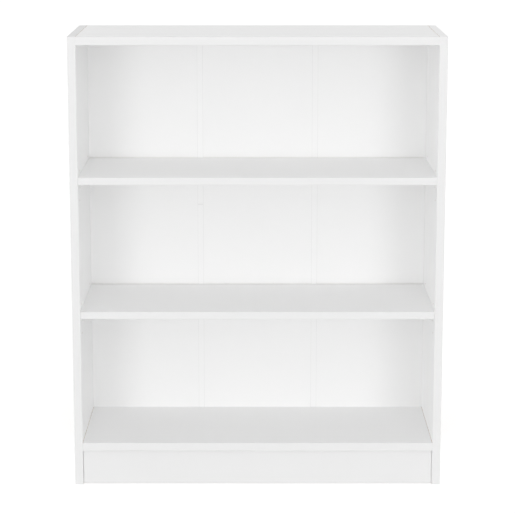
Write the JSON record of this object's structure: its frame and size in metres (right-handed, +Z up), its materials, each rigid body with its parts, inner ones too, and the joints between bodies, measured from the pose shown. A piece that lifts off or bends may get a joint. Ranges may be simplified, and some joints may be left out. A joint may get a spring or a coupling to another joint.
{
  "type": "bookcase",
  "caption": "Open white bookcase with full-height sides, loose shelves on pegs, a fixed bottom shelf over a plinth and a jointed hardboard back.",
  "frame": {"origin": "floor level under the middle of the case, centred across its width and its depth", "axes": "+X to the right seen from the front, +Y to the rear, so the open front faces -Y, +Z up"},
  "size_m": [0.8, 0.3, 0.98],
  "materials": {
    "white_board": "chipboard faced with satin white melamine foil",
    "white_edging": "satin white plastic edging, rounded",
    "white_hardboard": "hardboard, white lacquered front face, bare brown rear face",
    "white_plastic": "moulded or drawn white plastic",
    "zinc": "die-cast zinc",
    "steel": "bright zinc-plated steel",
    "beech": "bare beech"
  },
  "bodies": {
    "case": {"left_side_panel": "white_board", "right_side_panel": "white_board", "top_panel": "white_board", "bottom_panel": "white_board", "plinth_board": "white_board", "left_side_front_edging": "white_edging", "right_side_front_edging": "white_edging", "left_side_top_edging": "white_edging", "right_side_top_edging": "white_edging", "top_panel_edging": "white_edging", "bottom_panel_edging": "white_edging", "back_panel_left": "white_hardboard", "back_panel_centre": "white_hardboard", "back_panel_right": "white_hardboard", "back_strip_left_lower": "white_plastic", "back_strip_left_upper": "white_plastic", "back_strip_right": "white_plastic", "plinth_corner_blocks": "white_plastic", "lower_shelf_support_front_left": "white_plastic", "lower_shelf_support_front_right": "white_plastic", "lower_shelf_support_rear_left": "white_plastic", "lower_shelf_support_rear_right": "white_plastic", "upper_shelf_support_front_left": "white_plastic", "upper_shelf_support_front_right": "white_plastic", "upper_shelf_support_rear_left": "white_plastic", "upper_shelf_support_rear_right": "white_plastic", "top_cam_locks": "zinc", "bottom_cam_locks": "zinc", "top_cam_bolts": "steel", "bottom_cam_bolts": "steel", "back_panel_nails": "steel", "corner_block_screws": "steel", "top_dowels": "beech", "bottom_dowels": "beech", "plinth_dowels": "beech"},
    "upper_loose_shelf": {"upper_shelf": "white_board", "upper_shelf_edging": "white_edging"},
    "lower_loose_shelf": {"lower_shelf": "white_board", "lower_shelf_edging": "white_edging"}
  },
  "joints": [
    {"name": "upper_shelf_pull", "type": "slide", "parent": "case", "child": "upper_loose_shelf", "axis": [0, -1, 0], "range_m": [0, 0.3]},
    {"name": "lower_shelf_pull", "type": "slide", "parent": "case", "child": "lower_loose_shelf", "axis": [0, -1, 0], "range_m": [0, 0.3]}
  ]
}
